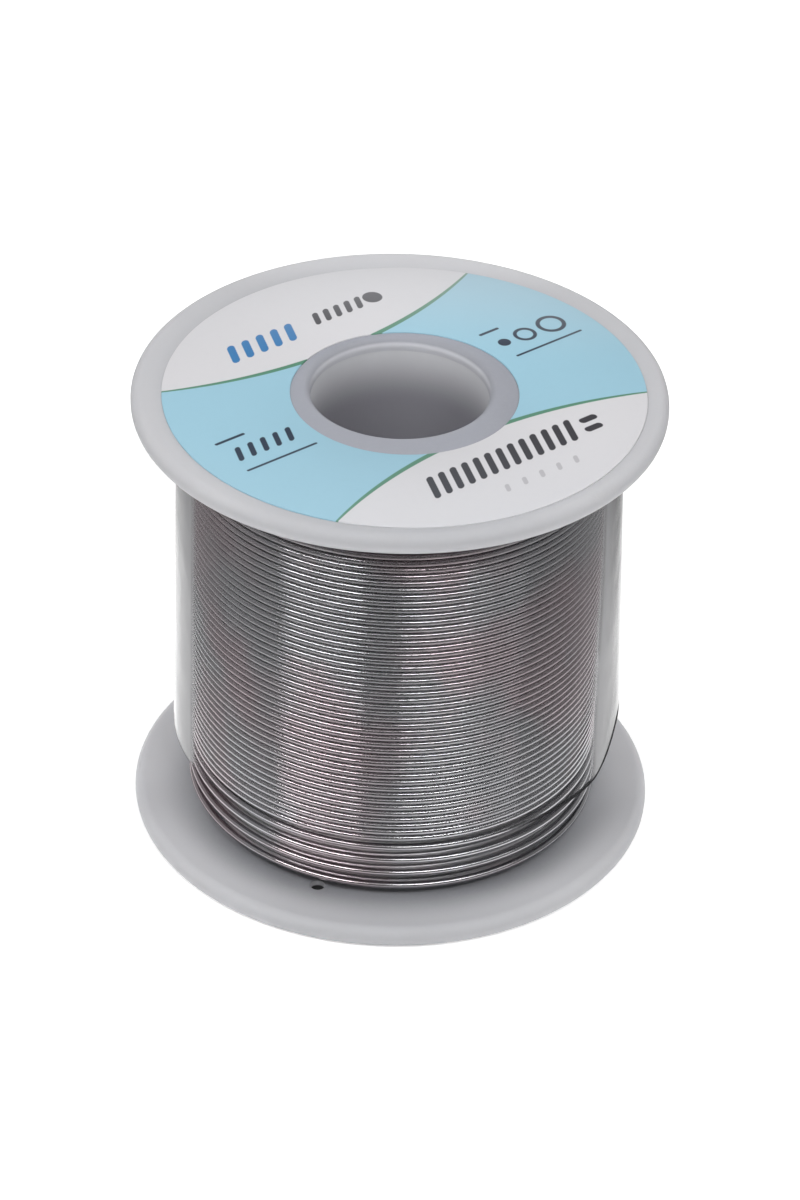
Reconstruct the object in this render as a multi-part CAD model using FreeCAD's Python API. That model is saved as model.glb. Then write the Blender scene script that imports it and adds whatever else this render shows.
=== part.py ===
"""A spool of cored solder wire, standing on its lower flange. Millimetres, +Z up.

The origin is the middle of the base, and +Z runs up the spool's bore. The spool is a core
tube with a moulded flange on each end. The wire is one length, wound in full layers; its
outermost layer is wound closely down from the upper flange, then runs out in a few open
turns down to the lower flange, where the wire's end is tucked into a small hole. A clear
sleeve, rolled from a strip of film, surrounds the closely wound turns and is free to turn
about the spool.
"""
import FreeCAD, Part
import math
import os

from FreeCAD import Vector

# Spool
SPOOL_HEIGHT = 56.0
FLANGE_DIAMETER = 60.0
FLANGE_THICKNESS = 2.6
RIM_ROUNDING = 0.9          # edge of a flange's outer face
BORE_DIAMETER = 20.0
BORE_ROUNDING = 0.9         # mouth of the bore
ROUNDING_FACETS = 2         # short cones that make up a rounding
CORE_WALL = 2.0
SOCKET_DEPTH = 1.2          # how far the core tube reaches into a flange
SOCKET_CLEARANCE = 0.03     # radial

# Label
LABEL_DIAMETER = 54.0
LABEL_HOLE_DIAMETER = 25.5
LABEL_THICKNESS = 0.15
LABEL_SHIFT = Vector(0.5, -1.2, 0.0)    # stuck on by hand, a little off the middle

# Wire
WIRE_DIAMETER = 0.8
TURN_PITCH = 0.87
LAYER_COUNT = 17
CLOSE_LAY_FOOT = 7.85       # height of the lowest closely wound turn above the lower flange
STEP_HEIGHT = 1.6           # the last full layer ends this far above the lower flange
OPEN_TURN_PITCH = 1.8
FLAT_RUN_ANGLE = 24.0       # how far the last turn lies on the lower flange, in degrees
LAY_CLEARANCE = 0.02        # between stretches of the wire, and between wire and spool
WIRE_SIDES = 5              # facets round a turn that is modelled singly
TAIL_TIP_HEIGHT = 0.5       # end of the wire, above the base

# Holes for the end of the wire, through the lower flange
END_HOLE_DIAMETER = 1.7
END_HOLE_COUNT = 3
END_HOLE_ANGLE = 130.0      # of the hole that holds the wire's end, about +Z from +X

# Clear film sleeve
FILM_THICKNESS = 0.2
FILM_GAP_SIDES = 1.1        # between the winding and the film, at the left and right
FILM_GAP_BACK = 0.25        # the same at the front and back
FILM_FLARE = 0.9            # how much further out the film stands at its foot
FILM_LEAN = 0.4             # how far its foot is off to the right
FILM_TOP_GAP = 0.3          # below the upper flange
FILM_FOOT_RISE = 0.5        # how far the film ends above the foot of the close lay
FILM_LAP_ANGLE = 28.0       # how far the film's ends overlap, at the back, in degrees
FILM_LAP_GAP = 0.12
FILM_POINTS = 48            # along the film's curve

# Derived from the values above
BORE_RADIUS = BORE_DIAMETER / 2
RIM_RADIUS = FLANGE_DIAMETER / 2
CORE_RADIUS = BORE_RADIUS + CORE_WALL
SOCKET_RADIUS = CORE_RADIUS + SOCKET_CLEARANCE
SOCKET_FLOOR = FLANGE_THICKNESS - SOCKET_DEPTH
LOWER_FACE = FLANGE_THICKNESS
UPPER_FACE = SPOOL_HEIGHT - FLANGE_THICKNESS
WIRE_RADIUS = WIRE_DIAMETER / 2
LAYER_RISE = math.sqrt(WIRE_DIAMETER ** 2 - (TURN_PITCH / 2) ** 2)    # turns nest in grooves
WINDING_RADIUS = CORE_RADIUS + WIRE_DIAMETER + (LAYER_COUNT - 1) * LAYER_RISE
PACKED_RADIUS = WINDING_RADIUS - LAYER_RISE
STEP_RADIUS = PACKED_RADIUS - LAYER_RISE
CLOSE_LAY_BOTTOM = LOWER_FACE + CLOSE_LAY_FOOT
OPEN_RADIUS = PACKED_RADIUS + LAY_CLEARANCE + WIRE_RADIUS    # of the wire's centre line
OPEN_TOP = CLOSE_LAY_BOTTOM - LAY_CLEARANCE - WIRE_RADIUS
OPEN_BOTTOM = LOWER_FACE + LAY_CLEARANCE + WIRE_RADIUS
FLAT_RUN_START = END_HOLE_ANGLE - FLAT_RUN_ANGLE
TAIL_BEND_RADIUS = END_HOLE_DIAMETER / 2 - LAY_CLEARANCE


def save(shape, node):
    shape.exportStep(os.path.join("parts", node + ".step"))


def polar(distance, angle):
    """A pair of coordinates at an angle in degrees."""
    turn = math.radians(angle)
    return distance * math.cos(turn), distance * math.sin(turn)


def on_circle(radius, angle, height):
    """The point at an angle about the spool's axis."""
    return Vector(*polar(radius, angle), height)


def revolved(outline):
    """Turn an outline of (radius, height) points about the spool's axis."""
    points = [Vector(radius, 0, height) for radius, height in outline]
    face = Part.Face(Part.makePolygon(points + points[:1]))
    return face.revolve(Vector(), Vector(0, 0, 1), 360).Solids[0]


def rounding(radius, height, size, first_angle):
    """A quarter round in an outline, anticlockwise about its centre at (radius, height)."""
    points = []
    for index in range(ROUNDING_FACETS + 1):
        across, up = polar(size, first_angle + 90 * index / ROUNDING_FACETS)
        points.append((radius + across, height + up))
    return points


def flange():
    """One moulded flange, outer face down on z = 0, with the core tube's socket inside."""
    mouth = rounding(BORE_RADIUS + BORE_ROUNDING, BORE_ROUNDING, BORE_ROUNDING, 180)
    rim = rounding(RIM_RADIUS - RIM_ROUNDING, RIM_ROUNDING, RIM_ROUNDING, 270)
    return revolved(mouth + rim + [
        (RIM_RADIUS, FLANGE_THICKNESS),
        (SOCKET_RADIUS, FLANGE_THICKNESS),
        (SOCKET_RADIUS, SOCKET_FLOOR),
        (BORE_RADIUS, SOCKET_FLOOR),
    ])


def lower_flange():
    lower = flange()
    for index in range(END_HOLE_COUNT):
        foot = on_circle(OPEN_RADIUS, END_HOLE_ANGLE + 360 * index / END_HOLE_COUNT, 0)
        lower = lower.cut(Part.makeCylinder(END_HOLE_DIAMETER / 2, FLANGE_THICKNESS, foot))
    return lower


def upper_flange():
    upper = flange()
    upper.rotate(Vector(0, 0, SPOOL_HEIGHT / 2), Vector(1, 0, 0), 180)
    return upper


def core_tube():
    """The tube that the wire is wound on, seated on the floors of both flanges' sockets."""
    top = SPOOL_HEIGHT - SOCKET_FLOOR
    return revolved([
        (BORE_RADIUS, SOCKET_FLOOR),
        (CORE_RADIUS, SOCKET_FLOOR),
        (CORE_RADIUS, top),
        (BORE_RADIUS, top),
    ])


def face_label():
    centre = Vector(0, 0, SPOOL_HEIGHT) + LABEL_SHIFT
    disc = Part.makeCylinder(LABEL_DIAMETER / 2, LABEL_THICKNESS, centre)
    return disc.cut(Part.makeCylinder(LABEL_HOLE_DIAMETER / 2, LABEL_THICKNESS, centre))


def packed_layers():
    """All the full layers under the outermost one, as the ring that they fill."""
    return revolved([
        (CORE_RADIUS + LAY_CLEARANCE, LOWER_FACE),
        (STEP_RADIUS, LOWER_FACE),
        (STEP_RADIUS, LOWER_FACE + STEP_HEIGHT),
        (PACKED_RADIUS, LOWER_FACE + STEP_HEIGHT),
        (PACKED_RADIUS, UPPER_FACE),
        (CORE_RADIUS + LAY_CLEARANCE, UPPER_FACE),
    ])


def close_lay():
    """The closely wound part of the outermost layer, as the ring that it fills."""
    return revolved([
        (PACKED_RADIUS + LAY_CLEARANCE, CLOSE_LAY_BOTTOM),
        (WINDING_RADIUS, CLOSE_LAY_BOTTOM),
        (WINDING_RADIUS, UPPER_FACE),
        (PACKED_RADIUS + LAY_CLEARANCE, UPPER_FACE),
    ])


def wire_section(centre, outward):
    """The wire's outline square to its run, as a polygon inside the round wire."""
    corners = []
    for index in range(WIRE_SIDES):
        across, up = polar(WIRE_RADIUS, 360 * (index + 0.5) / WIRE_SIDES)
        corners.append(centre + outward * across + Vector(0, 0, up))
    return Part.makePolygon(corners + corners[:1])


def open_turns():
    """The turns that run out from the close lay down to the lower flange, anticlockwise."""
    helix = Part.makeHelix(OPEN_TURN_PITCH, OPEN_TOP - OPEN_BOTTOM, OPEN_RADIUS, 0, True)
    section = wire_section(Vector(OPEN_RADIUS, 0, 0), Vector(1, 0, 0))
    turns = Part.Wire(helix.Edges).makePipeShell([section], True, True)
    turns.translate(Vector(0, 0, OPEN_BOTTOM))
    turns.rotate(Vector(), Vector(0, 0, 1), FLAT_RUN_START)
    return turns


def end_tail():
    """The end of the wire: a short run on the lower flange, then bent down into its hole."""
    first = FLAT_RUN_START + math.degrees(LAY_CLEARANCE / OPEN_RADIUS)
    last = END_HOLE_ANGLE - math.degrees(TAIL_BEND_RADIUS / OPEN_RADIUS)
    start = on_circle(OPEN_RADIUS, first, OPEN_BOTTOM)
    middle = on_circle(OPEN_RADIUS, (first + last) / 2, OPEN_BOTTOM)
    end = on_circle(OPEN_RADIUS, last, OPEN_BOTTOM)

    ahead = on_circle(1, last + 90, 0)
    down = Vector(0, 0, -1)
    knee = end + ahead * TAIL_BEND_RADIUS * math.sin(math.pi / 4)
    knee = knee + down * TAIL_BEND_RADIUS * (1 - math.cos(math.pi / 4))
    drop = end + (ahead + down) * TAIL_BEND_RADIUS
    tip = Vector(drop.x, drop.y, TAIL_TIP_HEIGHT)

    path = Part.Wire([
        Part.Arc(start, middle, end).toShape(),
        Part.Arc(end, knee, drop).toShape(),
        Part.makeLine(drop, tip),
    ])
    section = wire_section(start, on_circle(1, first, 0))
    return path.makePipeShell([section], True, True)


def film_curve(outward, lean, height):
    """The rolled strip at one height: an oval spiral whose ends overlap at the back."""
    sides = WINDING_RADIUS + FILM_GAP_SIDES + outward
    back = WINDING_RADIUS + FILM_GAP_BACK + outward
    points = []
    for index in range(FILM_POINTS + 1):
        along = (360 + FILM_LAP_ANGLE) * index / FILM_POINTS
        spread = (FILM_THICKNESS + FILM_LAP_GAP) * along / 360
        across, deep = polar(1, 90 - FILM_LAP_ANGLE / 2 + along)
        points.append(Vector((sides + spread) * across + lean, (back + spread) * deep, height))
    curve = Part.BSplineCurve()
    curve.interpolate(points)
    return curve.toShape()


def film_section(flare, lean, height):
    """The outline of the film at one height: its two faces and its two cut ends."""
    inner = film_curve(flare, lean, height)
    outer = film_curve(flare + FILM_THICKNESS, lean, height)
    ends = [
        Part.makeLine(inner_end.Point, outer_end.Point)
        for inner_end, outer_end in zip(inner.Vertexes, outer.Vertexes)
    ]
    return Part.Wire([inner, ends[1], outer, ends[0]])


def film_sleeve():
    foot = film_section(FILM_FLARE, FILM_LEAN, CLOSE_LAY_BOTTOM + FILM_FOOT_RISE)
    top = film_section(0, 0, UPPER_FACE - FILM_TOP_GAP)
    return Part.makeLoft([foot, top], True, True)


PARTS = {
    "core_tube": core_tube,
    "lower_flange": lower_flange,
    "upper_flange": upper_flange,
    "face_label": face_label,
    "wire_packed_layers": packed_layers,
    "wire_close_lay": close_lay,
    "wire_open_turns": open_turns,
    "wire_end_tail": end_tail,
    "clear_film_sleeve": film_sleeve,
}

os.makedirs("parts", exist_ok=True)
for name, build in PARTS.items():
    save(build(), name)
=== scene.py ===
import math
import random

import bmesh
import bpy
from mathutils import Matrix, Vector


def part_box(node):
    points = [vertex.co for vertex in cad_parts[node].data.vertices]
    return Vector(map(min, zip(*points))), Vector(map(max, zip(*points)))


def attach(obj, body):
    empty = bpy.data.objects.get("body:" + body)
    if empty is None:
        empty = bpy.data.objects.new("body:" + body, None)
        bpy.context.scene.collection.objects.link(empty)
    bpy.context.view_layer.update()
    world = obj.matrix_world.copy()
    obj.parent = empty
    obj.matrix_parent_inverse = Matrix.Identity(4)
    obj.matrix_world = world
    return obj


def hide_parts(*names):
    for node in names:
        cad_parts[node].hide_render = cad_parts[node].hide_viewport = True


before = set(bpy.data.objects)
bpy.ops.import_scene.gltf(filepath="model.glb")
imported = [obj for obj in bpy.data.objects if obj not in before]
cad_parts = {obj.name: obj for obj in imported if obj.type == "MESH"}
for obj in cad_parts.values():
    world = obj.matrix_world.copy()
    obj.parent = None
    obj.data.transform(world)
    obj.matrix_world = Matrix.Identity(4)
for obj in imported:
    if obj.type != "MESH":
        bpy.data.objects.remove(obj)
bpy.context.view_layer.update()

# A spool of solder wire in a clear film sleeve. Metres; the origin is the middle of the base
# and +Z runs up the bore. MM turns the millimetre sizes of the spool into metres.
MM = 0.001
FULL_TURN = 2 * math.pi

# Spool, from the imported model
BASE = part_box("lower_flange")[0].z
LOWER_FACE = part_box("lower_flange")[1].z
UPPER_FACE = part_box("upper_flange")[0].z
SPOOL_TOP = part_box("upper_flange")[1].z
RIM_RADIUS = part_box("lower_flange")[1].x
CORE_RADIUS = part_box("core_tube")[1].x
SOCKET_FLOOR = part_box("core_tube")[0].z
FLANGE_THICKNESS = LOWER_FACE - BASE
SOCKET_CLEARANCE = 0.03 * MM
SOCKET_RADIUS = CORE_RADIUS + SOCKET_CLEARANCE
BORE_RADIUS = 10.0 * MM
BORE_ROUNDING = 0.9 * MM
RIM_ROUNDING = 1.15 * MM
ROUNDING_STEPS = 7
RING_STEPS = 192

# Label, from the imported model
LABEL_LOW, LABEL_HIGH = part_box("face_label")
LABEL_CENTRE = (LABEL_LOW + LABEL_HIGH) / 2
LABEL_RADIUS = (LABEL_HIGH.x - LABEL_LOW.x) / 2
LABEL_HOLE_RADIUS = 12.75 * MM
LABEL_ROUNDING = 0.05 * MM
LABEL_TURN = math.radians(39.0)

# Wire
WIRE_RADIUS = 0.4 * MM
WIRE_SIDES = 12
TURN_STEPS = 112
TURN_PITCH = 0.87 * MM
WINDING_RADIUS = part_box("wire_close_lay")[1].x
CLOSE_RADIUS = WINDING_RADIUS - WIRE_RADIUS
CLOSE_TOP = UPPER_FACE - WIRE_RADIUS
OPEN_RADIUS = 23.293 * MM
OPEN_PITCH = 1.8 * MM
OPEN_TOP = 10.03 * MM
OPEN_BOTTOM = 3.02 * MM
FLAT_ANGLE = math.radians(106.0)
OPEN_TURNS = (OPEN_TOP - OPEN_BOTTOM) / OPEN_PITCH
RUN_OUT_ANGLE = FLAT_ANGLE - OPEN_TURNS * FULL_TURN
RUN_OUT_REACH = 16 * MM
END_HOLES = 3
END_HOLE_ANGLE = math.radians(130.0)
END_HOLE_RADIUS = 0.85 * MM
BEND_RADIUS = 0.83 * MM
BEND_STEPS = 8
TAIL_TIP = 0.5 * MM

# Wander of the close lay
DRIFT_SEED = 8
DRIFT_NUDGES = 14
DRIFT_TURNS = (6, 40)
DRIFT_RISES = (0.04 * MM, 0.09 * MM)
DRIFT_REACHES = (5 * MM, 9 * MM)

# Layers under the outer one
LAYER_RISE = 0.6715 * MM
LOWER_SIDES = 10
LOWER_STEPS = 96
LOWER_TURNS = 9
LOWER_BOTTOM = 4.62 * MM
FOOT_TURNS = 1.9
SHOULDER_HEIGHT = 12.2 * MM
SHOULDER_RADIUS = 21.6 * MM
BODY_CLEARANCE = 0.02 * MM
BODY_RADIUS = CLOSE_RADIUS - WIRE_RADIUS - BODY_CLEARANCE

# Film sleeve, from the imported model
FILM_LOW, FILM_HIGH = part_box("clear_film_sleeve")
FILM_HEIGHT = FILM_HIGH.z - FILM_LOW.z
FILM_THICKNESS = 0.2 * MM
FILM_LAP = math.radians(28.0)
FILM_LAP_GAP = 0.12 * MM
FILM_FLARE = 0.9 * MM
FILM_LEAN = 0.4 * MM
FILM_HEM = 0.35 * MM
FILM_ROWS = 14
FILM_STEPS = 160
FILM_SIDE_RADIUS = WINDING_RADIUS + 1.1 * MM
FILM_BACK_RADIUS = WINDING_RADIUS + 0.25 * MM

# Climb of the film's foot: how high, where it rises and falls in degrees past the right, and
# the share of it that goes into the hem
FILM_FOOT_CLIMB = 2.8 * MM
CLIMB_RISES = (-30, -8)
CLIMB_FALLS = (10, 75)
FILM_HEM_GROWTH = 0.3

# Surfaces: the depth of each relief
PLASTIC_RELIEF = 0.012 * MM
PAPER_RELIEF = 0.006 * MM
WIRE_RELIEF = 0.0005 * MM
FILM_WAVES = 0.25 * MM

# Print on the label, in millimetres from the label's middle: the band's edges are two arcs
BAND_CENTRE = 65.4
BAND_CURVE = 54.0
BAR_SLANT = 0.42

# Studio
FLOOR_SIZE = 6
FLOOR_DROP = 0.02 * MM
TENT_RADIUS = 0.85
TENT_HEIGHT = 1.3
TENT_TURN = math.radians(7.0)
AIM_HEIGHT = 30 * MM
LAMP_DISTANCE = 0.62
LAMP_DEPTH = 0.07
WINDOW_DISTANCE = 0.8
WINDOW_SIZE = 0.5
CAMERA_TILT = math.radians(34.69)
CAMERA_ROLL = math.radians(1.46)
CAMERA_DISTANCE = 545.28 * MM
CAMERA_AIM = Vector((0.57, 0, 27.22)) * MM
CAMERA_LENS = 142.62

# How near two places are taken as one, the reach of a test for a place, and the angle in
# degrees past which an edge stays sharp
SAME_PLACE = 0.002 * MM
CLOSE_BY = 0.01 * MM
SHARP_ANGLE = 35
WIRE_SHARP_ANGLE = 60


# Shaping by hand: one piece at a time, in edit mode

def take(piece):
    """Makes the piece the only one selected."""
    bpy.ops.object.select_all(action="DESELECT")
    piece.select_set(True)
    bpy.context.view_layer.objects.active = piece


def settle(name):
    """Names the piece just added and puts its place and size into its mesh."""
    piece = bpy.context.object
    piece.name = name
    piece.data.name = name
    take(piece)
    bpy.ops.object.transform_apply(location=True, rotation=True, scale=True)
    return piece


def open_up(piece):
    """Opens a piece in edit mode, with nothing picked."""
    take(piece)
    bpy.ops.object.mode_set(mode="EDIT")
    bpy.ops.mesh.select_mode(type="VERT")
    bpy.ops.mesh.select_all(action="DESELECT")


def pick(piece, passes):
    """Selects the corners whose place passes a test, and the edges and faces between them."""
    bpy.ops.mesh.select_all(action="DESELECT")
    shape = bmesh.from_edit_mesh(piece.data)
    for corner in shape.verts:
        corner.select = passes(corner.co)
    shape.select_flush(True)
    bmesh.update_edit_mesh(piece.data)


def pull(x=0.0, z=0.0):
    """Extrudes what is picked, outwards or upwards."""
    bpy.ops.mesh.extrude_region_move(TRANSFORM_OT_translate={"value": (x, 0.0, z)})


def near(value, target):
    return abs(value - target) < SAME_PLACE


def round_corner(piece, radius, height, size, segments):
    """Rounds one corner of a flat outline."""
    pick(piece, lambda place: near(place.x, radius) and near(place.z, height))
    bpy.ops.mesh.bevel(offset=size, segments=segments, affect="VERTICES")


def outline_plate(name, inner, outer, bottom, top):
    """An upright rectangle beside the spool's axis."""
    middle = ((inner + outer) / 2, 0, (bottom + top) / 2)
    bpy.ops.mesh.primitive_plane_add(size=1, location=middle, rotation=(math.pi / 2, 0, 0))
    bpy.context.object.scale = (outer - inner, top - bottom, 1)
    return settle(name)


def merge_outline():
    """Makes the faces of a flat outline one."""
    bpy.ops.mesh.select_all(action="SELECT")
    bpy.ops.mesh.dissolve_limited(angle_limit=0.01)


def spin_outline(piece, steps=RING_STEPS):
    """Spins a flat outline about the spool's axis into a closed ring."""
    bpy.ops.mesh.select_all(action="SELECT")
    bpy.ops.mesh.delete(type="ONLY_FACE")
    bpy.ops.mesh.select_all(action="SELECT")
    bpy.ops.mesh.spin(steps=steps, angle=FULL_TURN, center=(0, 0, 0), axis=(0, 0, 1))
    close_up(piece)


def close_up(piece, angle=SHARP_ANGLE):
    """Merges doubles, turns the faces outwards and leaves edit mode."""
    bpy.ops.mesh.select_all(action="SELECT")
    bpy.ops.mesh.remove_doubles(threshold=SAME_PLACE)
    bpy.ops.mesh.normals_make_consistent(inside=False)
    bpy.ops.object.mode_set(mode="OBJECT")
    take(piece)
    bpy.ops.object.shade_smooth_by_angle(angle=math.radians(angle))


def apply(piece, modifier):
    take(piece)
    bpy.ops.object.modifier_apply(modifier=modifier.name)


def join(keeper, *others):
    """Makes several pieces one, under the first one's name."""
    take(keeper)
    for other in others:
        other.select_set(True)
    bpy.ops.object.join()


def place(piece, body, slot, finishes, *nodes):
    """Gives a finished piece its finishes, its body and the nodes that it stands for."""
    for finish in finishes:
        piece.data.materials.append(finish)
    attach(piece, body)
    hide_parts(*nodes)


# Spool

def moulded_flange(name):
    """A flange, outer face down on the base, with the core tube's socket in its inner face."""
    piece = outline_plate(name, BORE_RADIUS, SOCKET_RADIUS, BASE, SOCKET_FLOOR)
    open_up(piece)
    pick(piece, lambda place: near(place.x, SOCKET_RADIUS))
    pull(x=RIM_RADIUS - SOCKET_RADIUS)
    pick(piece, lambda place: place.x > SOCKET_RADIUS - CLOSE_BY and near(place.z, SOCKET_FLOOR))
    pull(z=LOWER_FACE - SOCKET_FLOOR)
    merge_outline()
    round_corner(piece, BORE_RADIUS, BASE, BORE_ROUNDING, ROUNDING_STEPS)
    round_corner(piece, RIM_RADIUS, BASE, RIM_ROUNDING, ROUNDING_STEPS)
    round_corner(piece, RIM_RADIUS, LOWER_FACE, RIM_ROUNDING, ROUNDING_STEPS)
    spin_outline(piece)
    return piece


def turned_over(piece, name):
    """A copy of the lower flange, turned over onto the top of the spool."""
    take(piece)
    bpy.ops.object.duplicate(linked=False)
    copy = bpy.context.object
    copy.rotation_euler.x = math.pi
    copy.location.z = SPOOL_TOP + BASE
    return settle(name)


def drill_end_holes(piece):
    """Small holes through the lower flange, for the end of the wire."""
    for index in range(END_HOLES):
        angle = END_HOLE_ANGLE + index * FULL_TURN / END_HOLES
        foot = (OPEN_RADIUS * math.cos(angle), OPEN_RADIUS * math.sin(angle), LOWER_FACE / 2)
        bpy.ops.mesh.primitive_cylinder_add(
            vertices=32, radius=END_HOLE_RADIUS, depth=3 * FLANGE_THICKNESS, location=foot)
        drill = settle("drill")
        cut = piece.modifiers.new("end_hole", "BOOLEAN")
        cut.object = drill
        cut.operation = "DIFFERENCE"
        cut.solver = "EXACT"
        apply(piece, cut)
        bpy.data.objects.remove(drill)
        # The hole's walls take the second finish, which holds painted shade.
        for face in piece.data.polygons:
            beside = Vector((face.center.x - foot[0], face.center.y - foot[1]))
            if beside.length < END_HOLE_RADIUS + CLOSE_BY and abs(face.normal.z) < 0.1:
                face.material_index = 1
    take(piece)
    bpy.ops.object.shade_smooth_by_angle(angle=math.radians(SHARP_ANGLE))


def core_tube():
    """The tube between the flanges, seated in a socket at each end."""
    piece = outline_plate("core_tube_bored", BORE_RADIUS, CORE_RADIUS, SOCKET_FLOOR,
                          SPOOL_TOP - SOCKET_FLOOR)
    open_up(piece)
    spin_outline(piece)
    return piece


def face_label():
    """The printed paper label, a thin ring stuck on a little off the middle."""
    piece = outline_plate("printed_label", LABEL_HOLE_RADIUS, LABEL_RADIUS, LABEL_LOW.z, LABEL_HIGH.z)
    open_up(piece)
    for edge in (LABEL_RADIUS, LABEL_HOLE_RADIUS):
        round_corner(piece, edge, LABEL_HIGH.z, LABEL_ROUNDING, 2)
    spin_outline(piece)
    piece.location = (LABEL_CENTRE.x, LABEL_CENTRE.y, 0)
    take(piece)
    bpy.ops.object.transform_apply(location=True, rotation=True, scale=True)
    return piece


# Wire

def wire_ring(name, radius, angle, height, sides=WIRE_SIDES):
    """The wire's round outline, upright, at a place on its lay."""
    spot = (radius * math.cos(angle), radius * math.sin(angle), height)
    bpy.ops.mesh.primitive_circle_add(
        vertices=sides, radius=WIRE_RADIUS, location=spot, rotation=(math.pi / 2, 0, angle))
    return settle(name)


def wind(piece, angle, rise, steps=TURN_STEPS):
    """Winds the wire's outline about the spool's axis."""
    lay = piece.modifiers.new("lay", "SCREW")
    lay.axis = "Z"
    lay.angle = angle
    lay.screw_offset = rise
    lay.steps = lay.render_steps = max(1, round(abs(angle) / FULL_TURN * steps))
    lay.use_smooth_shade = True
    apply(piece, lay)


def in_ring(place, radius, angle, height):
    """Whether a place is on the wire's outline there."""
    spot = Vector((radius * math.cos(angle), radius * math.sin(angle), height))
    return (place - spot).length < WIRE_RADIUS + CLOSE_BY


def outer_wire():
    """One length: the close lay, its open turns, and the end bent down into its hole."""
    lay_turns = (CLOSE_TOP - OPEN_TOP) / TURN_PITCH
    lay = wire_ring("solder_wire_outer", CLOSE_RADIUS, RUN_OUT_ANGLE, OPEN_TOP)
    wind(lay, -lay_turns * FULL_TURN, CLOSE_TOP - OPEN_TOP)

    run_out = wire_ring("run_out", OPEN_RADIUS, RUN_OUT_ANGLE, OPEN_TOP)
    wind(run_out, OPEN_TURNS * FULL_TURN, OPEN_BOTTOM - OPEN_TOP)
    open_up(run_out)
    pick(run_out, lambda place: in_ring(place, OPEN_RADIUS, RUN_OUT_ANGLE, OPEN_TOP))
    step = CLOSE_RADIUS - OPEN_RADIUS
    bpy.ops.transform.translate(
        value=(step * math.cos(RUN_OUT_ANGLE), step * math.sin(RUN_OUT_ANGLE), 0),
        use_proportional_edit=True, use_proportional_connected=True,
        proportional_edit_falloff="SMOOTH", proportional_size=RUN_OUT_REACH)

    bend_angle = END_HOLE_ANGLE - BEND_RADIUS / OPEN_RADIUS
    pick(run_out, lambda place: in_ring(place, OPEN_RADIUS, FLAT_ANGLE, OPEN_BOTTOM))
    bpy.ops.mesh.spin(
        steps=BEND_STEPS, angle=FLAT_ANGLE - bend_angle, center=(0, 0, 0), axis=(0, 0, 1))
    hinge = (OPEN_RADIUS * math.cos(bend_angle), OPEN_RADIUS * math.sin(bend_angle),
             OPEN_BOTTOM - BEND_RADIUS)
    outward = (math.cos(bend_angle), math.sin(bend_angle), 0)
    bpy.ops.mesh.spin(steps=BEND_STEPS, angle=math.pi / 2, center=hinge, axis=outward)
    pull(z=TAIL_TIP - (OPEN_BOTTOM - BEND_RADIUS))
    bpy.ops.mesh.edge_face_add()
    bpy.ops.object.mode_set(mode="OBJECT")

    join(lay, run_out)
    open_up(lay)
    start_angle = RUN_OUT_ANGLE - lay_turns * FULL_TURN
    pick(lay, lambda place: in_ring(place, CLOSE_RADIUS, start_angle, CLOSE_TOP))
    bpy.ops.mesh.edge_face_add()
    close_up(lay, WIRE_SHARP_ANGLE)
    return lay


def drift(piece):
    """Lets the close lay wander a little up and down, as a machine lays it."""
    lot = random.Random(DRIFT_SEED)
    open_up(piece)
    for _ in range(DRIFT_NUDGES):
        turn = round(lot.uniform(*DRIFT_TURNS))
        angle = lot.uniform(-math.pi, math.pi)
        height = OPEN_TOP + TURN_PITCH * (turn + (RUN_OUT_ANGLE - angle) / FULL_TURN)
        spot = Vector((CLOSE_RADIUS * math.cos(angle), CLOSE_RADIUS * math.sin(angle), height))
        pick(piece, lambda place: (place - spot).length < 3 * WIRE_RADIUS)
        rise = lot.choice((-1, 1)) * lot.uniform(*DRIFT_RISES)
        reach = lot.uniform(*DRIFT_REACHES)
        bpy.ops.transform.translate(
            value=(0, 0, rise), use_proportional_edit=True,
            proportional_edit_falloff="SMOOTH", proportional_size=reach)
    bpy.ops.object.mode_set(mode="OBJECT")


def winding_body():
    """The full layers as one ring, stepped in where the turns over it are open."""
    body = outline_plate("winding_body", CORE_RADIUS + BODY_CLEARANCE, SHOULDER_RADIUS,
                         LOWER_FACE, SHOULDER_HEIGHT)
    open_up(body)
    pick(body, lambda place: near(place.z, SHOULDER_HEIGHT))
    pull(z=UPPER_FACE - SHOULDER_HEIGHT)
    pick(body, lambda place: near(place.x, SHOULDER_RADIUS) and place.z > SHOULDER_HEIGHT - CLOSE_BY)
    pull(x=BODY_RADIUS - SHOULDER_RADIUS)
    merge_outline()
    spin_outline(body, LOWER_STEPS)
    return body


def lower_layers():
    """The layers under the outermost one: turns where they show, and the winding behind."""
    turns = wire_ring("solder_wire_lower_layers", CLOSE_RADIUS - LAYER_RISE, FLAT_ANGLE,
                      LOWER_BOTTOM, LOWER_SIDES)
    wind(turns, LOWER_TURNS * FULL_TURN, LOWER_TURNS * TURN_PITCH, LOWER_STEPS)
    foot = wire_ring("foot_turns", CLOSE_RADIUS - 2 * LAYER_RISE, FLAT_ANGLE, OPEN_BOTTOM, LOWER_SIDES)
    wind(foot, -FOOT_TURNS * FULL_TURN, FOOT_TURNS * TURN_PITCH, LOWER_STEPS)
    join(turns, foot, winding_body())
    open_up(turns)
    bpy.ops.mesh.select_mode(type="EDGE")
    bpy.ops.mesh.select_non_manifold(
        extend=False, use_wire=False, use_boundary=True, use_multi_face=False,
        use_non_contiguous=False, use_verts=False)
    bpy.ops.mesh.edge_face_add()
    bpy.ops.mesh.select_mode(type="VERT")
    close_up(turns, WIRE_SHARP_ANGLE)
    return turns


# Film sleeve

def eased(value, low, high):
    """A smooth rise from 0 to 1 between two numbers."""
    share = min(max((value - low) / (high - low), 0), 1)
    return share * share * (3 - 2 * share)


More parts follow.
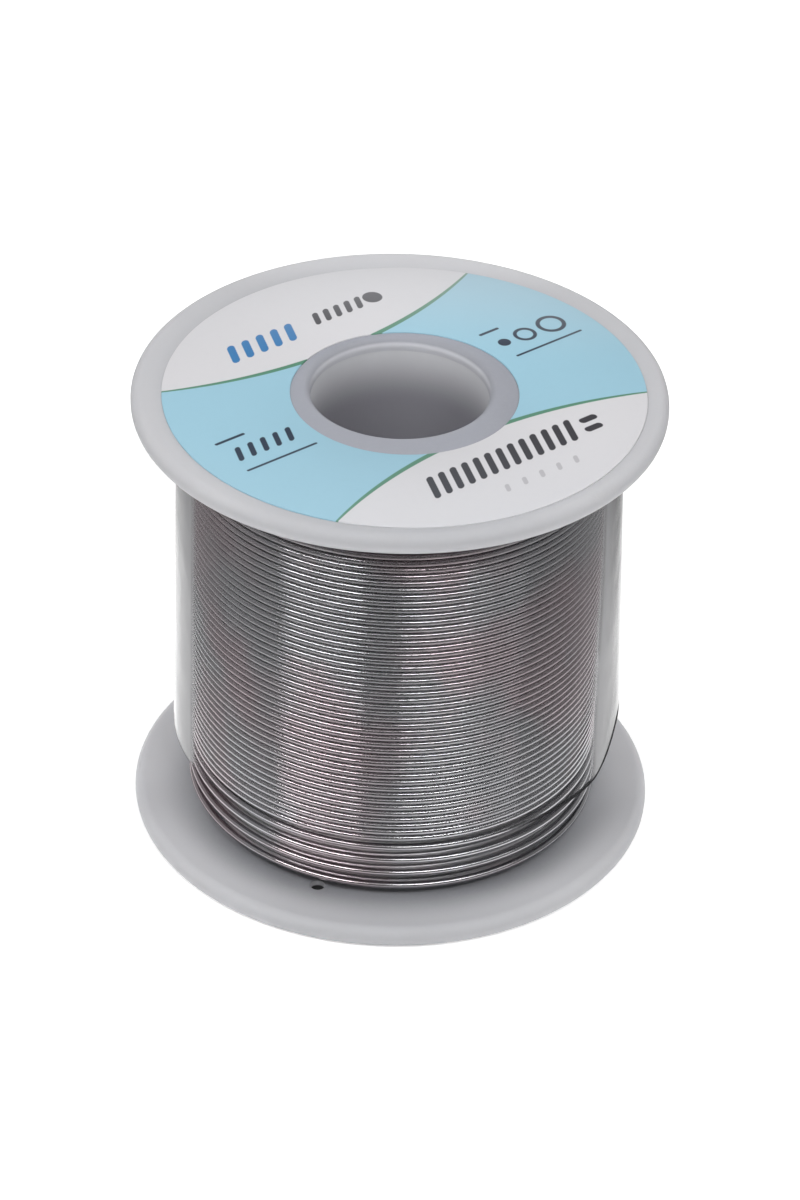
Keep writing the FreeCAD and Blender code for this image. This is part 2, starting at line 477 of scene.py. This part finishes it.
def foot_climb(along):
    """How far the film's foot climbs at the right, where the strip is rolled a little askew."""
    past_right = math.degrees((FULL_TURN + FILM_LAP) * along - FILM_LAP / 2) - 270
    return FILM_FOOT_CLIMB * eased(past_right, *CLIMB_RISES) * (1 - eased(past_right, *CLIMB_FALLS))


def rolled(along, up):
    """Where a point of the flat strip lies once it is rolled: along and up run from 0 to 1."""
    turn = (FULL_TURN + FILM_LAP) * along
    angle = math.pi / 2 - FILM_LAP / 2 + turn
    up = up + foot_climb(along) / FILM_HEIGHT * (1 - up)
    spread = (FILM_THICKNESS + FILM_LAP_GAP) * turn / FULL_TURN + FILM_FLARE * (1 - up)
    return Vector((
        (FILM_SIDE_RADIUS + spread) * math.cos(angle) + FILM_LEAN * (1 - up),
        (FILM_BACK_RADIUS + spread) * math.sin(angle),
        FILM_LOW.z + FILM_HEIGHT * up))


def film_sleeve(clear, cut_edge):
    """A strip of clear film rolled round the winding, its ends lapped at the back.

    Its wall stands outwards. Its cut edges and its hem, the lowest row of faces, have a finish
    of their own, which holds painted shade at the right.
    """
    bpy.ops.mesh.primitive_grid_add(
        x_subdivisions=FILM_STEPS, y_subdivisions=FILM_ROWS, size=1,
        location=(0.5, 0, 0.5), rotation=(math.pi / 2, 0, 0))
    piece = settle("clear_film")
    hem = 1 / FILM_ROWS
    for face in piece.data.polygons:
        face.material_index = 1 if face.center.z < hem else 0
    for corner in piece.data.vertices:
        along, _, up = corner.co
        if abs(up - hem) < 0.01 * hem:
            up = (FILM_HEM + foot_climb(along) * FILM_HEM_GROWTH) / FILM_HEIGHT
        corner.co = rolled(along, up)
    piece.data.materials.append(clear)
    piece.data.materials.append(cut_edge)
    open_up(piece)
    close_up(piece, 50)
    wall = piece.modifiers.new("wall", "SOLIDIFY")
    wall.thickness = FILM_THICKNESS
    wall.offset = 1
    wall.material_offset_rim = 1
    apply(piece, wall)
    bpy.ops.object.shade_smooth_by_angle(angle=math.radians(40))
    return piece


# Finishes: arithmetic on values that change over a surface

def printed(red, green, blue):
    """A colour as it is seen on a screen, from 0 to 255, as the light that it gives back."""
    def light(part):
        part = part / 255
        return part / 12.92 if part <= 0.04045 else ((part + 0.055) / 1.055) ** 2.4
    return light(red), light(green), light(blue), 1.0


def plain(level):
    """A grey of a given strength."""
    return level, level, level, 1.0


class Value:
    """A value that changes over a surface."""

    def __init__(self, finish, socket):
        self.finish = finish
        self.socket = socket

    def worked(self, operation, first, second=0.0):
        return self.finish.node("ShaderNodeMath", {"operation": operation}, {0: first, 1: second})

    def __add__(self, other):
        return self.worked("ADD", self, other)

    __radd__ = __add__

    def __sub__(self, other):
        return self.worked("SUBTRACT", self, other)

    def __rsub__(self, other):
        return self.worked("SUBTRACT", other, self)

    def __mul__(self, other):
        return self.worked("MULTIPLY", self, other)

    __rmul__ = __mul__

    def __truediv__(self, other):
        return self.worked("DIVIDE", self, other)

    def __rtruediv__(self, other):
        return self.worked("DIVIDE", other, self)

    def __pow__(self, other):
        return self.worked("POWER", self, other)

    def __abs__(self):
        return self.worked("ABSOLUTE", self)

    def over(self, other):
        return self.worked("MAXIMUM", self, other)

    def under(self, other):
        return self.worked("MINIMUM", self, other)


class Finish:
    """The nodes of one material, or of the studio's surroundings."""

    def __init__(self, owner):
        self.owner = owner
        owner.use_nodes = True
        self.tree = owner.node_tree
        self.tree.nodes.clear()

    def node(self, kind, settings=(), sockets=(), output=0):
        """Adds a node: its settings first, then the values or links of its sockets."""
        made = self.tree.nodes.new(kind)
        for name, value in dict(settings).items():
            setattr(made, name, value)
        for name, value in dict(sockets).items():
            if isinstance(value, Value):
                self.tree.links.new(value.socket, made.inputs[name])
            else:
                made.inputs[name].default_value = value
        return Value(self, made.outputs[output])

    def spot(self, centre=(0, 0, 0), turn=0.0, size=(MM, MM, MM)):
        """The place on the piece, in millimetres from a centre, unless it is stretched."""
        held = self.node("ShaderNodeTexCoord", output="Object")
        return self.node("ShaderNodeMapping", {"vector_type": "TEXTURE"}, {
            "Vector": held, "Location": centre, "Rotation": (0, 0, turn), "Scale": size})

    def across(self, spot):
        """The three coordinates of a place."""
        first = self.node("ShaderNodeSeparateXYZ", sockets={"Vector": spot})
        second, third = first.socket.node.outputs[1:]
        return first, Value(self, second), Value(self, third)

    def from_axis(self, across, deep):
        """How far a place is from the spool's axis."""
        return (across * across + deep * deep) ** 0.5

    def grain(self, spot, scale, detail=2.0, roughness=0.5):
        """Cloudy noise about 0.5."""
        return self.node("ShaderNodeTexNoise", sockets={
            "Vector": spot, "Scale": scale, "Detail": detail, "Roughness": roughness})

    def blend(self, share, first, second):
        """Two colours mixed: all first at a share of 0."""
        return self.node("ShaderNodeMix", {"data_type": "RGBA"}, {0: share, 6: first, 7: second}, 2)

    def ramp(self, value, low, high, first=0.0, last=1.0):
        """A value's smooth rise from one number to another."""
        return self.node("ShaderNodeMapRange", {"interpolation_type": "SMOOTHSTEP"}, {
            "Value": value, "From Min": low, "From Max": high, "To Min": first, "To Max": last})

    def bump(self, height, distance, strength=1.0):
        """A relief that tilts the light without moving the surface."""
        return self.node("ShaderNodeBump", sockets={
            "Height": height, "Distance": distance, "Strength": strength})

    def shade(self, **sockets):
        """The main shader, with each socket's value or link."""
        named = {name.replace("_", " "): value for name, value in sockets.items()}
        return self.node("ShaderNodeBsdfPrincipled", sockets=named)

    def done(self, shader, kind="ShaderNodeOutputMaterial"):
        """Links the shader to its output."""
        self.tree.links.new(shader.socket, self.tree.nodes.new(kind).inputs["Surface"])
        return self.owner


def new_finish(name):
    return Finish(bpy.data.materials.new(name))


def flange_tone_and_painted_light(finish, deep, up, radius):
    """The flanges' grey, with painted shade where the winding lies behind it, deepest at the front and
    under the top flange, painted shade at the front of the rim, and painted light at the rims, the lower
    flange's sides and the back.
    """
    low = finish.ramp(up, 3.0, 5.0, 1.0, 0.0)
    # Painted shade under the top flange (below) and at the front of the rim (front); painted light at
    # the back (back), beside the winding on the lower flange (beside) and low on each rim.
    below = finish.ramp(up, 30.0, 50.0) * finish.ramp(up, 53.5, 54.0, 1.0, 0.0)
    front = finish.ramp(deep, -30.0, -21.0, 0.5, 0.0) * (1.0 - low * 0.25)
    back = finish.ramp(deep, 20.0, 28.0, 0.0, 0.5)
    beside = low * finish.ramp(radius, 22.0, 27.0, 0.0, 0.5) * finish.ramp(deep, -8.0, 2.0)
    top_rim_painted_light = finish.ramp(up, 53.6, 55.0, 0.7, 0.0) * finish.ramp(up, 53.2, 53.45)
    top_rim_painted_light = top_rim_painted_light * finish.ramp(radius, 29.0, 29.8)
    base_rim_painted_light = finish.ramp(up, 0.2, 1.8, 0.4, 0.0)

    # Painted shade over the winding, deeper at the front and darkest under the top flange; the plastic
    # beyond it is 195.
    painted_shade = finish.blend(finish.ramp(deep, -22.0, -2.0), printed(128, 129, 133), printed(174, 175, 179))
    painted_shade = finish.blend(below, painted_shade, printed(92, 93, 96))
    tone = finish.blend(finish.ramp(radius - below * 1.6, 23.0, 28.2), painted_shade, printed(195, 195, 198))
    tone = finish.blend(beside, tone, printed(226, 226, 229))
    tone = finish.blend(front, tone, printed(170, 171, 175))
    tone = finish.blend(back, tone, printed(222, 222, 225))
    return finish.blend(base_rim_painted_light.over(top_rim_painted_light), tone, printed(226, 226, 229))


def hub_tone_and_painted_light(finish, across, deep, radius):
    """The bare ring round the bore, painted darker than the flanges, with painted shade at the back of
    its rounded mouth and to the right, and painted light towards the back and on the mouth's far edge.
    """
    # Painted shade at the back of the mouth (mouth); painted light on the mouth's far edge.
    mouth = finish.ramp(radius, 10.2, 11.4, 1.0, 0.0) * finish.ramp(deep, -6.0, 6.0)
    far_edge_painted_light = finish.ramp(radius, 10.03, 10.25, 1.0, 0.0) * finish.ramp(deep, -4.0, 6.0)
    tone = finish.blend(mouth, printed(160, 162, 171), printed(153, 155, 162))
    tone = finish.blend(finish.ramp(across, 7.0, 13.0, 0.0, 0.5), tone, printed(146, 148, 155))
    tone = finish.blend(finish.ramp(deep, 9.0, 13.0, 0.0, 0.5), tone, printed(176, 177, 190))
    return finish.blend(far_edge_painted_light, tone, printed(212, 213, 219))


def spool_plastic():
    """Cloudy natural polypropylene, with painted shade where the dark winding lies behind it and painted
    light at the rims and the back.
    """
    finish = new_finish("natural_plastic")
    spot = finish.spot()
    across, deep, up = finish.across(spot)
    radius = finish.from_axis(across, deep)
    cloud = finish.grain(spot, 0.16, 3.0, 0.55)
    speck = finish.grain(spot, 2.4, 2.0)
    tone = finish.blend(finish.ramp(radius, 14.0, 16.0, 1.0, 0.0),
                        flange_tone_and_painted_light(finish, deep, up, radius), hub_tone_and_painted_light(finish, across, deep, radius))
    tone = finish.blend(cloud * 0.16, tone, printed(184, 186, 194))
    tone = finish.blend((speck - 0.5) * 0.10, tone, printed(226, 226, 226))
    gloss = 0.56 + (finish.grain(spot, 0.9, 3.0) - 0.5) * 0.14
    return finish.done(finish.shade(
        Base_Color=tone, Roughness=gloss, IOR=1.45, Specular_IOR_Level=0.3,
        Normal=finish.bump(finish.grain(spot, 3.2, 3.0, 0.6), PLASTIC_RELIEF),
        Subsurface_Weight=0.3, Subsurface_Radius=(1.0, 0.95, 0.9), Subsurface_Scale=2.5 * MM))


def hole_wall_painted_shade():
    """Inside a small hole: the same plastic at its mouth, with painted shade further in."""
    finish = new_finish("natural_plastic_hole")
    _, _, up = finish.across(finish.spot())
    mouth = FLANGE_THICKNESS / MM
    # Painted shade down the hole's wall, below a lighter band at its mouth.
    tone = finish.blend(
        finish.ramp(up, mouth - 0.75, mouth - 0.5), printed(20, 20, 22), printed(186, 186, 190))
    return finish.done(finish.shade(Base_Color=tone, Roughness=0.6))


def bore_plastic_painted_light():
    """The core tube, with painted light near its ends, where the flanges pass light into it, and painted
    shade down its middle, where the winding is.
    """
    finish = new_finish("natural_plastic_bore")
    spot = finish.spot()
    _, _, up = finish.across(spot)
    middle = SPOOL_TOP / 2 / MM
    from_end = middle - abs(up - middle)
    cloud = finish.grain(spot, 0.2, 3.0, 0.55)
    # Painted light at the tube's ends, painted shade towards its middle.
    tone = finish.blend(finish.ramp(from_end, 0.2, 8.2), printed(228, 229, 232), printed(141, 140, 147))
    tone = finish.blend(cloud * 0.2, tone, printed(160, 161, 168))
    gloss = 0.5 + (finish.grain(spot, 0.7, 3.0) - 0.5) * 0.16
    return finish.done(finish.shade(
        Base_Color=tone, Roughness=gloss, IOR=1.45, Specular_IOR_Level=0.35,
        Normal=finish.bump(finish.grain(spot, 2.5, 3.0, 0.6), PLASTIC_RELIEF)))


def stadium(across, up, centre, half_length, half_height):
    """How far a place is outside a bar with round ends."""
    past = (abs(across - centre[0]) - half_length).over(0.0)
    off = up - centre[1]
    return (past * past + off * off) ** 0.5 - half_height


def disc(across, up, centre, radius):
    """How far a place is outside a round dot."""
    beside = across - centre[0]
    off = up - centre[1]
    return (beside * beside + off * off) ** 0.5 - radius


def ring(across, up, centre, radius, half_width):
    """How far a place is outside a round line."""
    return abs(disc(across, up, centre, radius)) - half_width


def slanted_bars(across, up, centre, half_length, half_height, pitch, half_width):
    """How far a place is outside a row of slanted bars with round ends."""
    off = up - centre[1]
    beside = across - centre[0] - off * BAR_SLANT
    nearest = beside.finish.node(
        "ShaderNodeMath", {"operation": "WRAP"}, {0: beside, 1: pitch / 2, 2: -pitch / 2})
    past = (abs(off) - half_height).over(0.0)
    bar = (nearest * nearest + past * past) ** 0.5 - half_width
    return bar.over(abs(beside) - half_length)


def inked(outside, softness=0.09):
    """How much ink lies at a place, from how far it is outside the figure."""
    return (0.5 - outside / softness).over(0.0).under(1.0)


def nearest_of(*figures):
    """How far a place is outside the nearest of several figures."""
    nearest = figures[0]
    for figure in figures[1:]:
        nearest = nearest.under(figure)
    return nearest


def label_figures(finish, paper, across, up):
    """Plain bars, strokes, a dot and rings, which say nothing, printed on the paper."""
    blue = slanted_bars(across, up, (-6.6, 17.6), 5.0, 1.15, 2.0, 0.52)
    dark = nearest_of(
        slanted_bars(across, up, (4.6, 18.2), 3.75, 0.75, 1.5, 0.4),
        stadium(across, up, (9.6, 18.2), 0.01, 1.15),
        slanted_bars(across, up, (0.2, -17.0), 10.4, 1.5, 1.6, 0.44),
        stadium(across, up, (12.9, -16.3), 0.7, 0.48),
        stadium(across, up, (12.3, -18.0), 0.7, 0.48))
    faint = slanted_bars(across, up, (1.8, -21.8), 6.0, 0.35, 2.4, 0.3)
    navy = nearest_of(
        disc(across, up, (15.6, 1.6), 0.75),
        ring(across, up, (18.6, 1.6), 1.15, 0.22),
        ring(across, up, (22.4, 1.6), 1.5, 0.25),
        stadium(across, up, (19.6, -1.5), 4.6, 0.16),
        stadium(across, up, (15.6, 4.4), 1.2, 0.2),
        slanted_bars(across, up, (-18.9, 0.7), 4.0, 0.9, 1.7, 0.36),
        stadium(across, up, (-18.9, -2.5), 4.6, 0.16),
        stadium(across, up, (-21.4, 3.7), 1.8, 0.2))
    tone = finish.blend(inked(blue), paper, printed(54, 122, 178))
    tone = finish.blend(inked(dark), tone, printed(52, 50, 56))
    tone = finish.blend(inked(faint), tone, printed(186, 184, 188))
    return finish.blend(inked(navy), tone, printed(28, 44, 66))


def label_paper():
    """Coated white paper: a pale blue band between green lines and plain dark figures, with painted
    shade towards the front and painted light towards the back.
    """
    finish = new_finish("printed_paper")
    spot = finish.spot()
    _, deep, _ = finish.across(spot)
    across, up, _ = finish.across(finish.spot((LABEL_CENTRE.x, LABEL_CENTRE.y, 0), LABEL_TURN))
    above = abs(up) - BAND_CENTRE
    edge = (across * across + above * above) ** 0.5 - BAND_CURVE
    line = abs(edge) - (0.33 - across * across * 0.00043)

    tone = finish.blend(inked(edge), printed(156, 199, 217), printed(215, 214, 217))
    tone = finish.blend(inked(line), tone, printed(84, 138, 112))
    tone = label_figures(finish, tone, across, up)
    fibre = finish.grain(spot, 1.1, 4.0, 0.6)
    tone = finish.blend((fibre - 0.5) * 0.07, tone, printed(120, 120, 124))
    # Painted shade towards the front of the label, painted light towards the back.
    tone = finish.blend(finish.ramp(deep, -30.0, -4.0, 0.12, 0.0), tone, printed(160, 172, 182))
    tone = finish.blend(finish.ramp(deep, 4.0, 28.0, 0.0, 0.24), tone, printed(236, 238, 242))
    gloss = 0.4 + (finish.grain(spot, 0.6, 3.0) - 0.5) * 0.12
    relief = finish.bump(finish.grain(spot, 5.0, 3.0, 0.65), PAPER_RELIEF)
    return finish.done(finish.shade(Base_Color=tone, Roughness=gloss, Normal=relief, IOR=1.45))


def solder_wire(name, dull):
    """Drawn tin-lead wire: a dull grey metal with fine lines along it and a faint bloom."""
    finish = new_finish(name)
    spot = finish.spot()
    bloom = finish.grain(spot, 0.05, 3.0, 0.55)
    drawn = finish.grain(finish.spot(size=(9 * MM, 9 * MM, 0.16 * MM)), 1.0, 2.0, 0.6)
    tarnish = finish.grain(spot, 0.7, 4.0, 0.6)
    tone = finish.blend(finish.ramp(bloom, 0.4, 0.6), printed(174, 163, 167), printed(168, 168, 171))
    tone = finish.blend(drawn * 0.2, tone, printed(118, 114, 117))
    tone = finish.blend(finish.ramp(tarnish, 0.5, 0.8, 0.0, 0.2), tone, printed(116, 110, 113))
    gloss = 0.15 + dull * 0.3 + (drawn - 0.5) * 0.05 + (tarnish - 0.5) * 0.04
    return finish.done(finish.shade(
        Base_Color=tone, Metallic=1.0 - dull, Roughness=gloss,
        Normal=finish.bump(drawn, WIRE_RELIEF, 0.2)))


def clear_film():
    """Thin clear film: nearly unseen face on, grey and glossy where it turns away; its grey holds
    painted shade to the right and painted light at the left foot.
    """
    finish = new_finish("clear_film")
    spot = finish.spot()
    across, _, up = finish.across(spot)
    facing = finish.node("ShaderNodeLayerWeight", sockets={"Blend": 0.5}, output="Facing")
    haze = finish.grain(finish.spot(size=(3 * MM, 3 * MM, 20 * MM)), 1.0, 2.0)
    turned = facing + finish.ramp(up, 15.0, 45.0, 0.045, 0.0) * finish.ramp(across, 10.0, 22.0)
    share = finish.ramp(turned, 0.45, 0.64, 0.03, 0.06) + finish.ramp(turned, 0.64, 0.7, 0.0, 0.88)
    share = share + (haze - 0.5) * 0.03 + finish.ramp(facing, 0.84, 0.95, 0.0, 0.1)
    # Painted light and shade in the film's grey: darker to the right (outer) and darkest at the grazing
    # edge there, one mid grey where the film nears the winding, and lighter at the foot on the left
    # (foot).
    outer = finish.ramp(across, -18.0, 22.0)
    tone = finish.blend(outer, printed(160, 160, 161), printed(86, 86, 87))
    tone = finish.blend(finish.ramp(facing, 0.68, 0.86, 1.0, 0.0), tone, printed(150, 150, 152))
    grazing_painted_shade = finish.ramp(facing, 0.84, 0.95, 0.0, 0.85) * finish.ramp(across, 10.0, 22.0)
    tone = finish.blend(grazing_painted_shade, tone, printed(46, 46, 48))
    foot = finish.ramp(up, 11.0, 18.0, 0.8, 0.0) * finish.ramp(across, -22.0, -10.0, 1.0, 0.0)
    tone = finish.blend(foot, tone, printed(152, 152, 154))
    clear = finish.node("ShaderNodeBsdfTransparent", sockets={"Color": plain(0.97)})
    gloss = finish.shade(
        Base_Color=tone, Roughness=0.16, IOR=1.5, Specular_IOR_Level=0.1,
        Normal=finish.bump(finish.grain(spot, 0.12, 2.0), FILM_WAVES))
    return finish.done(finish.node("ShaderNodeMixShader", sockets={0: share, 1: clear, 2: gloss}))


def film_edge_painted_shade():
    """The film's cut ends and its hem: a dark painted shade at the right, gathering the dark of the
    winding, fading to clear at the left.
    """
    finish = new_finish("clear_film_cut_edge")
    spot = finish.spot()
    across, _, _ = finish.across(spot)
    clear = finish.node("ShaderNodeBsdfTransparent", sockets={"Color": plain(0.95)})
    # Patchy painted shade for the hem's dark line.
    painted_shade_patches = finish.grain(spot, 1.5, 3.0)
    matte = finish.shade(Base_Color=finish.blend(painted_shade_patches, printed(34, 34, 36), printed(56, 56, 58)),
                         Roughness=0.9, Specular_IOR_Level=0.1)
    share = finish.ramp(across, 8.0, 21.0, 0.06, 0.94)
    return finish.done(finish.node("ShaderNodeMixShader", sockets={0: share, 1: clear, 2: matte}))


# Studio

def seen_or_mirrored(finish):
    """Whether a ray comes straight from the camera, or by way of gloss or a clear piece."""
    path = finish.node("ShaderNodeLightPath", output="Is Camera Ray")
    glossy = Value(finish, path.socket.node.outputs["Is Glossy Ray"])
    through = Value(finish, path.socket.node.outputs["Is Transmission Ray"])
    return path.over(glossy).over(through)


def studio_surroundings():
    """A white surround to look at, and plain soft light from it."""
    finish = Finish(bpy.data.worlds.new("studio"))
    strength = 0.42 + seen_or_mirrored(finish) * 0.58
    light = finish.node("ShaderNodeBackground", sockets={"Color": plain(1.0), "Strength": strength})
    bpy.context.scene.world = finish.done(light, "ShaderNodeOutputWorld")


def studio_floor():
    """A white table, which glows a little where the spool doesn't shade it."""
    bpy.ops.mesh.primitive_plane_add(size=FLOOR_SIZE, location=(0, 0, BASE - FLOOR_DROP))
    floor = settle("floor")
    finish = new_finish("white_floor")
    across, deep, _ = finish.across(finish.spot())
    away = finish.from_axis(across, deep)
    beside_spool = finish.ramp(away, 27.0, 30.0, 0.0, 0.45)
    far_off = finish.ramp(away, 300.0, 1500.0, 0.0, 0.4)
    in_bore = finish.ramp(away, 9.0, 10.0, 0.25, 0.0)
    glow = finish.node("ShaderNodeEmission", sockets={
        "Color": plain(1.0), "Strength": seen_or_mirrored(finish) * (beside_spool + far_off + in_bore)})
    matte = finish.node("ShaderNodeBsdfDiffuse", sockets={"Color": plain(0.84)})
    table = finish.node("ShaderNodeAddShader", sockets={0: matte, 1: glow})
    floor.data.materials.append(finish.done(table))


def tent_cloth():
    """Dim cloth, and a table that is bright close to the spool, which only the gloss shows."""
    finish = new_finish("tent_cloth")
    across, deep, up = finish.across(finish.spot(size=(1, 1, 1)))
    away = finish.from_axis(across, deep)
    front = (0.0 - deep * math.cos(TENT_TURN) - across * math.sin(TENT_TURN)) / away
    ahead = finish.ramp(front, 0.913, 0.978)
    beside = finish.ramp(away, 0.047, 0.09, 1.0, 0.0)

    walls = finish.blend(finish.ramp(up, 0.1, 1.2), plain(0.11), plain(0.27))
    walls = finish.blend(finish.ramp(deep, -0.8, -0.45, 0.0, 0.6), walls, plain(0.46))
    walls = finish.blend(finish.ramp(deep, 0.1, 0.5), walls, plain(0.42))
    walls = finish.blend(finish.ramp(across, -0.85, -0.76, 0.25, 0.0), walls, plain(0.75))
    walls = finish.blend(finish.ramp(across, 0.76, 0.84, 0.0, 0.25), walls, plain(0.12))
    near_table = finish.blend(ahead, plain(1.9), plain(1.25))
    table = finish.blend(beside, finish.blend(ahead, plain(0.52), plain(0.3)), near_table)
    tone = finish.blend(finish.ramp(up, 0.0, 0.02, 1.0, 0.0), walls, table)
    return finish.done(finish.node("ShaderNodeEmission", sockets={"Color": tone, "Strength": 1.0}))


def studio_tent():
    """A dim tent round the set, which only shows between the bright lines of the wire's gloss."""
    bpy.ops.mesh.primitive_cylinder_add(
        vertices=96, radius=TENT_RADIUS, depth=TENT_HEIGHT, end_fill_type="NOTHING",
        location=(0, 0, TENT_HEIGHT / 2))
    tent = settle("dim_tent")
    open_up(tent)
    pick(tent, lambda place: place.z > TENT_HEIGHT - 0.1)
    bpy.ops.mesh.edge_face_add()
    pick(tent, lambda place: place.z < 0.1)
    bpy.ops.mesh.edge_face_add()
    bpy.ops.transform.translate(value=(0, 0, -FLOOR_DROP / 2))
    bpy.ops.object.mode_set(mode="OBJECT")
    tent.data.materials.append(tent_cloth())
    tent.visible_camera = False
    tent.visible_diffuse = False
    tent.visible_transmission = False
    tent.visible_volume_scatter = False
    tent.visible_shadow = False


def softbox(name, side, height, distance, size, power, lights=True, in_gloss=True):
    """A soft lamp aimed at the spool: side and height are angles seen from the spool's front.

    It falls on the pieces if it lights, and they mirror it if it is in the gloss.
    """
    lamp = bpy.data.lights.new(name, "AREA")
    lamp.shape = "RECTANGLE"
    lamp.size, lamp.size_y = size
    lamp.energy = power
    side, height = math.radians(side), math.radians(height)
    out = Vector((
        math.sin(side) * math.cos(height), -math.cos(side) * math.cos(height), math.sin(height)))
    stand = bpy.data.objects.new(name, lamp)
    stand.location = Vector((0, 0, AIM_HEIGHT)) + out * distance
    stand.rotation_euler = out.to_track_quat("Z", "Y").to_euler()
    stand.visible_diffuse = lights
    stand.visible_glossy = in_gloss
    bpy.context.scene.collection.objects.link(stand)


def studio_lamps():
    """Two soft boxes that light the spool, thin lamps that only its gloss shows, two windows."""
    for name, side, width, power in (
            ("softbox_left", -44.7, 0.372, 1.3),
            ("softbox_right", 29, 0.356, 1.25)):
        softbox(name, side, 50, LAMP_DISTANCE, (width, LAMP_DEPTH), power, in_gloss=False)
    for name, side, height, width, power in (
            ("glint_left", -41.8, 42, 0.402, 1.41),
            ("glint_middle", -10, 44, 0.26, 0.155),
            ("glint_right", 25.8, 46, 0.322, 1.08),
            ("glint_edge", 52, 46, 0.091, 0.145),
            ("glint_side", 71, 46, 0.2, 0.14)):
        softbox(name, side, height, LAMP_DISTANCE, (width, LAMP_DEPTH), power, lights=False)
    for name, side, height in (("window_left", -135, 48), ("window_right", 125, 45)):
        softbox(name, side, height, WINDOW_DISTANCE, (WINDOW_SIZE, WINDOW_SIZE), 0.55, in_gloss=False)


def studio_camera():
    """A long lens, looking down on the spool from the front."""
    back = Vector((0, -math.cos(CAMERA_TILT), math.sin(CAMERA_TILT)))
    right = Vector((1, 0, 0))
    up = back.cross(right)
    side = right * math.cos(CAMERA_ROLL) + up * math.sin(CAMERA_ROLL)
    rise = up * math.cos(CAMERA_ROLL) - right * math.sin(CAMERA_ROLL)
    lens = bpy.data.cameras.new("camera")
    lens.lens = CAMERA_LENS
    lens.sensor_fit = "AUTO"
    lens.sensor_width = 36
    lens.clip_start = 0.01
    lens.clip_end = 20
    view = bpy.data.objects.new("camera", lens)
    turn = Matrix((side, rise, back)).transposed().to_4x4()
    view.matrix_world = Matrix.Translation(CAMERA_AIM + back * CAMERA_DISTANCE) @ turn
    bpy.context.scene.collection.objects.link(view)
    bpy.context.scene.camera = view


# The pieces

flange_low = moulded_flange("moulded_flange_lower")
flange_high = turned_over(flange_low, "moulded_flange_upper")
drill_end_holes(flange_low)
core = core_tube()
label = face_label()
wire = outer_wire()
drift(wire)
layers = lower_layers()
film = film_sleeve(clear_film(), film_edge_painted_shade())

# Their bodies and finishes

plastic = spool_plastic()
place(flange_low, "spool", "spool_plastic", [plastic, hole_wall_painted_shade()], "lower_flange")
place(flange_high, "spool", "spool_plastic", [plastic], "upper_flange")
place(core, "spool", "spool_plastic", [bore_plastic_painted_light()], "core_tube")
place(label, "spool", "label_paper", [label_paper()], "face_label")
place(wire, "spool", "solder_wire", [solder_wire("drawn_solder", 0.0)],
      "wire_close_lay", "wire_open_turns", "wire_end_tail")
place(layers, "spool", "solder_wire", [solder_wire("drawn_solder_below", 0.5)], "wire_packed_layers")
place(film, "film", "clear_film", [], "clear_film_sleeve")

# The studio

studio_surroundings()
studio_floor()
studio_tent()
studio_lamps()
studio_camera()
bpy.context.scene.view_settings.view_transform = "Standard"
